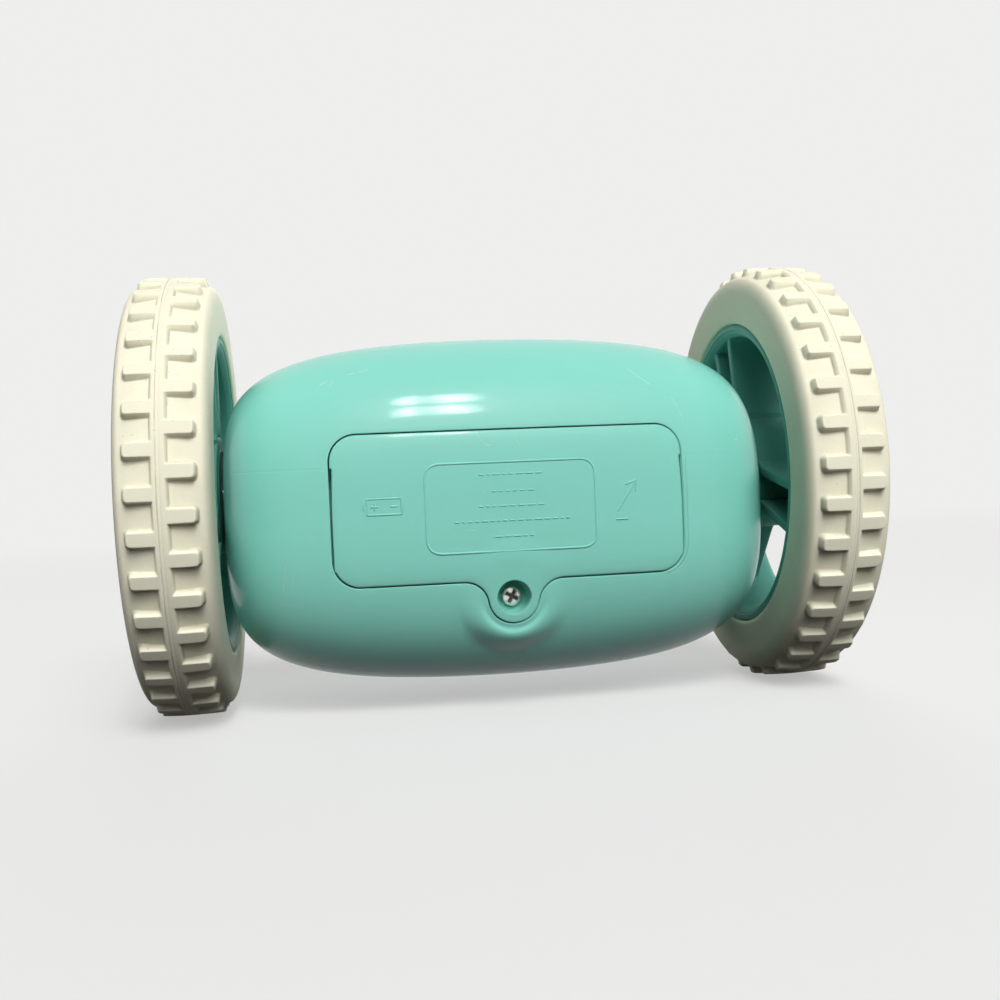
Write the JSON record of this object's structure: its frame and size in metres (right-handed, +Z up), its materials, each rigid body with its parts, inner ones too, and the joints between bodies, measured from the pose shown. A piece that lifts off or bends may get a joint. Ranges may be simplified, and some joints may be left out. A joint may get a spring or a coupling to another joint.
{
  "type": "runaway alarm clock",
  "caption": "Pillow-shaped digital alarm clock slung between large treaded wheels that drive it off a table, with a battery door in its back.",
  "frame": {"origin": "on the floor, midway between the wheels and under the axle line", "axes": "+X along the axles towards the wheel on the right of someone reading the display, -Y is the display side, +Y the battery door side, +Z up"},
  "size_m": [0.142, 0.089, 0.089],
  "materials": {
    "teal_plastic": "semi-gloss moulded teal ABS",
    "cream_plastic": "satin cream ABS",
    "tyre_rubber": "matt cream rubber",
    "clear_plastic": "clear moulded window",
    "lcd_grey": "grey-green reflective display",
    "white_plastic": "natural moulded plastic",
    "black_plastic": "matt black plastic",
    "circuit_board": "green solder mask",
    "nylon": "white nylon",
    "brass": "machined brass",
    "motor_can": "plated can",
    "cell_wrap": "printed cell sleeve without lettering",
    "spring_steel": "nickel-plated",
    "plain_steel": "dull rolled steel",
    "steel": "bright zinc-plated steel"
  },
  "bodies": {
    "case": {"ballast_bar": "plain_steel", "ballast_screws": "steel", "battery_box": "black_plastic", "battery_cell_1": "cell_wrap", "battery_cell_2": "cell_wrap", "battery_cell_3": "cell_wrap", "battery_cell_4": "cell_wrap", "battery_contacts": "spring_steel", "battery_springs": "spring_steel", "board_screws": "steel", "buzzer": "black_plastic", "case_screws": "steel", "face_plate": "cream_plastic", "front_shell": "teal_plastic", "lcd_glass": "lcd_grey", "lcd_holder": "white_plastic", "lcd_lens": "clear_plastic", "left_axle_bush": "nylon", "left_bulkhead": "white_plastic", "left_cover_screws": "steel", "left_gear_cover": "white_plastic", "left_gear_pins": "steel", "left_motor": "motor_can", "main_board": "circuit_board", "rear_shell": "teal_plastic", "right_axle_bush": "nylon", "right_bulkhead": "white_plastic", "right_cover_screws": "steel", "right_gear_cover": "white_plastic", "right_gear_pins": "steel", "right_motor": "motor_can", "snooze_board": "circuit_board", "tact_switches": "black_plastic"},
    "right_wheel": {"right_tyre": "tyre_rubber", "right_rim": "teal_plastic", "right_hub_cap": "teal_plastic", "right_wheel_screw": "steel", "right_axle": "steel", "right_axle_gear": "nylon"},
    "right_second_gear_body": {"right_second_gear": "nylon"},
    "right_first_gear_body": {"right_first_gear": "nylon"},
    "right_rotor": {"right_motor_shaft": "steel", "right_motor_pinion": "brass"},
    "left_wheel": {"left_tyre": "tyre_rubber", "left_rim": "teal_plastic", "left_hub_cap": "teal_plastic", "left_wheel_screw": "steel", "left_axle": "steel", "left_axle_gear": "nylon"},
    "left_second_gear_body": {"left_second_gear": "nylon"},
    "left_first_gear_body": {"left_first_gear": "nylon"},
    "left_rotor": {"left_motor_shaft": "steel", "left_motor_pinion": "brass"},
    "snooze": {"snooze_button": "cream_plastic"},
    "time_key": {"time_button": "cream_plastic"},
    "alarm_key": {"alarm_button": "cream_plastic"},
    "hour_key": {"hour_button": "cream_plastic"},
    "minute_key": {"minute_button": "cream_plastic"},
    "door": {"battery_door": "teal_plastic", "door_screw": "steel"}
  },
  "joints": [
    {"name": "right_wheel_spin", "type": "hinge", "parent": "case", "child": "right_wheel", "pos_m": [0.0626, 0, 0.0445], "axis": [1, 0, 0], "continuous": true},
    {"name": "right_second_gear_spin", "type": "hinge", "parent": "case", "child": "right_second_gear_body", "pos_m": [0.04, 0.00958, 0.03728], "axis": [1, 0, 0], "continuous": true},
    {"name": "right_first_gear_spin", "type": "hinge", "parent": "case", "child": "right_first_gear_body", "pos_m": [0.037, 0.00305, 0.02721], "axis": [1, 0, 0], "continuous": true},
    {"name": "right_motor_spin", "type": "hinge", "parent": "case", "child": "right_rotor", "pos_m": [0.035, -0.00843, 0.02371], "axis": [1, 0, 0], "continuous": true},
    {"name": "left_wheel_spin", "type": "hinge", "parent": "case", "child": "left_wheel", "pos_m": [-0.0626, 0, 0.0445], "axis": [1, 0, 0], "continuous": true},
    {"name": "left_second_gear_spin", "type": "hinge", "parent": "case", "child": "left_second_gear_body", "pos_m": [-0.04, 0.00958, 0.03728], "axis": [1, 0, 0], "continuous": true},
    {"name": "left_first_gear_spin", "type": "hinge", "parent": "case", "child": "left_first_gear_body", "pos_m": [-0.037, 0.00305, 0.02721], "axis": [1, 0, 0], "continuous": true},
    {"name": "left_motor_spin", "type": "hinge", "parent": "case", "child": "left_rotor", "pos_m": [-0.035, -0.00843, 0.02371], "axis": [1, 0, 0], "continuous": true},
    {"name": "snooze_press", "type": "slide", "parent": "case", "child": "snooze", "axis": [0, 0, -1], "range_m": [0, 0.0015], "stiffness_N_per_m": 400, "springref_m": -0.001},
    {"name": "time_press", "type": "slide", "parent": "case", "child": "time_key", "axis": [0, 1, 0], "range_m": [0, 0.0008], "stiffness_N_per_m": 500, "springref_m": -0.0005},
    {"name": "alarm_press", "type": "slide", "parent": "case", "child": "alarm_key", "axis": [0, 1, 0], "range_m": [0, 0.0008], "stiffness_N_per_m": 500, "springref_m": -0.0005},
    {"name": "hour_press", "type": "slide", "parent": "case", "child": "hour_key", "axis": [0, 1, 0], "range_m": [0, 0.0008], "stiffness_N_per_m": 500, "springref_m": -0.0005},
    {"name": "minute_press", "type": "slide", "parent": "case", "child": "minute_key", "axis": [0, 1, 0], "range_m": [0, 0.0008], "stiffness_N_per_m": 500, "springref_m": -0.0005},
    {"name": "door_lift", "type": "slide", "parent": "case", "child": "door", "axis": [0, 1, 0], "range_m": [0, 0.03]}
  ],
  "couplings": [
    {"joint": "right_second_gear_spin", "follows": "right_wheel_spin", "ratio": -3},
    {"joint": "right_first_gear_spin", "follows": "right_wheel_spin", "ratio": 9},
    {"joint": "right_motor_spin", "follows": "right_wheel_spin", "ratio": -27},
    {"joint": "left_second_gear_spin", "follows": "left_wheel_spin", "ratio": -3},
    {"joint": "left_first_gear_spin", "follows": "left_wheel_spin", "ratio": 9},
    {"joint": "left_motor_spin", "follows": "left_wheel_spin", "ratio": -27}
  ]
}
